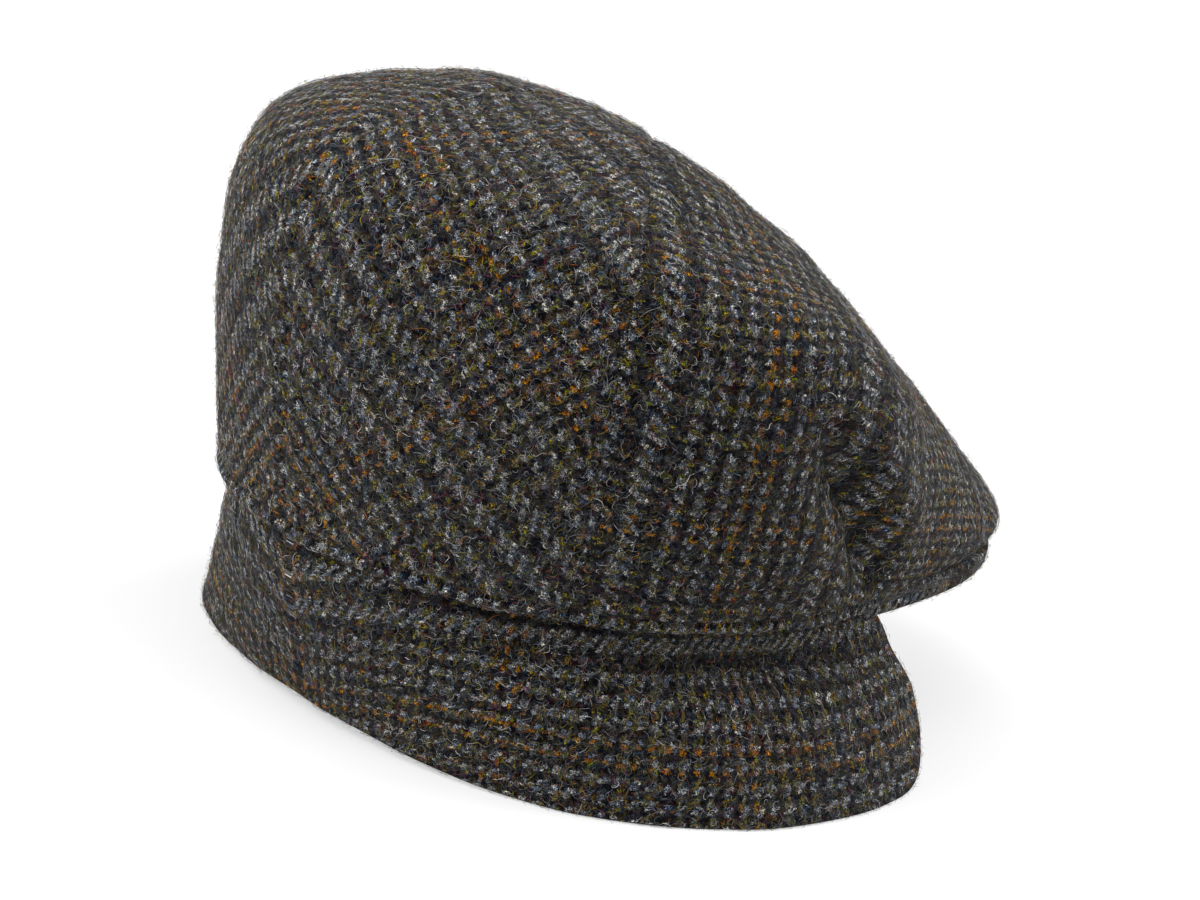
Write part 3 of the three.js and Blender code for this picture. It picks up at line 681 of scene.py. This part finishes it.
# Floor, camera and light: a sheet of white paper that lies flat around the cap and curves up far out, the
# camera, rolled as the picture was taken, and five large soft panels, named as the camera sees them.
PAPER_FLAT, PAPER_END, PAPER_CURVE = 3.5, 6.0, 0.32  # m
turn, ring = np.meshgrid(np.radians(np.arange(0, 360, 6)), np.linspace(0.5, PAPER_END, 12))
height = PAPER_CURVE * np.maximum(0, ring - PAPER_FLAT) ** 2
sweep = np.stack([ring * np.cos(turn), ring * np.sin(turn), height], -1)
k = np.arange(turn.size).reshape(turn.shape)
ahead = np.roll(k, -1, axis=1)
faces = np.stack([k[:-1], k[1:], ahead[1:], ahead[:-1]], -1).reshape(-1, 4)
floor_mesh = bpy.data.meshes.new("floor")
floor_mesh.from_pydata(sweep.reshape(-1, 3).tolist(), [], [k[0].tolist(), *faces.tolist()])
floor = bpy.data.objects.new("floor", floor_mesh)
bpy.context.scene.collection.objects.link(floor)
# white paper: dull, and lit from below as well, so that it burns out around a faint shadow
paper = bpy.data.materials.new("white_paper_sweep")
paper.use_nodes = True
shader = paper.node_tree.nodes["Principled BSDF"]
shader.inputs["Base Color"].default_value = linear("#8e8e8e")
shader.inputs["Roughness"].default_value = 0.9
shader.inputs["Emission Color"].default_value = (1, 1, 1, 1)
shader.inputs["Emission Strength"].default_value = 0.52
floor_mesh.materials.append(paper)

world = bpy.data.worlds.new("studio")
bpy.context.scene.world = world
world.use_nodes = True
world.node_tree.nodes["Background"].inputs["Color"].default_value = (1, 1, 1, 1)
world.node_tree.nodes["Background"].inputs["Strength"].default_value = 0.02
bpy.context.scene.view_settings.view_transform = "Standard"

VIEW_AZIMUTH, VIEW_ELEVATION, VIEW_ROLL = math.radians(44.494), math.radians(17.95), math.radians(11.891)
VIEW_DISTANCE, VIEW_SIDE, VIEW_UP, VIEW_LENS, VIEW_FILM = 1400, 4.29, 17.86, 157.5, 36.0
side_way = np.array([-math.cos(VIEW_AZIMUTH), -math.sin(VIEW_AZIMUTH), 0])
up_way = np.array([math.sin(VIEW_AZIMUTH) * math.sin(VIEW_ELEVATION),
                   -math.cos(VIEW_AZIMUTH) * math.sin(VIEW_ELEVATION), math.cos(VIEW_ELEVATION)])
back_way = np.array([-math.sin(VIEW_AZIMUTH) * math.cos(VIEW_ELEVATION),
                     math.cos(VIEW_AZIMUTH) * math.cos(VIEW_ELEVATION), math.sin(VIEW_ELEVATION)])


def aimed(name, data, place, right, up, back):
    """Object whose own axes are the given right, up and back directions, at a place in metres."""
    made = bpy.data.objects.new(name, data)
    matrix = np.eye(4)
    matrix[:3, 0], matrix[:3, 1], matrix[:3, 2], matrix[:3, 3] = right, up, back, place
    made.matrix_world = Matrix(matrix.tolist())
    bpy.context.scene.collection.objects.link(made)
    return made


target = np.array([0, HEAD_CENTRE_Y, RIM_HEIGHT]) + VIEW_SIDE * side_way + VIEW_UP * up_way
camera_data = bpy.data.cameras.new("camera")
camera_data.sensor_width, camera_data.lens, camera_data.clip_end = VIEW_FILM, VIEW_LENS, 50
c, s = math.cos(VIEW_ROLL), math.sin(VIEW_ROLL)
camera = aimed("camera", camera_data, (target + VIEW_DISTANCE * back_way) / 1000, c * side_way + s * up_way,
               c * up_way - s * side_way, back_way)
bpy.context.scene.camera = camera

for name, place, size, power in (  # metres and watts
        ("top_panel", (-0.15, 0.5, 1.9), 1.3, 32.7), ("front_left_panel", (0.5, 1.5, 1.0), 1.2, 44.2),
        ("left_panel", (1.5, 0.5, 1.1), 1.4, 18.2), ("right_panel", (-0.4, -1.5, 1.1), 1.4, 53.8),
        ("front_right_panel", (-1.5, -0.3, 1.0), 1.2, 9.6)):
    light = bpy.data.lights.new(name, "AREA")
    light.size, light.energy = size, power
    back = np.array(place) - (0, 0, 0.08)
    back /= np.linalg.norm(back)
    right = np.cross((0, 0, 1), back)
    right /= np.linalg.norm(right)
    aimed(name, light, place, right, np.cross(back, right), back)
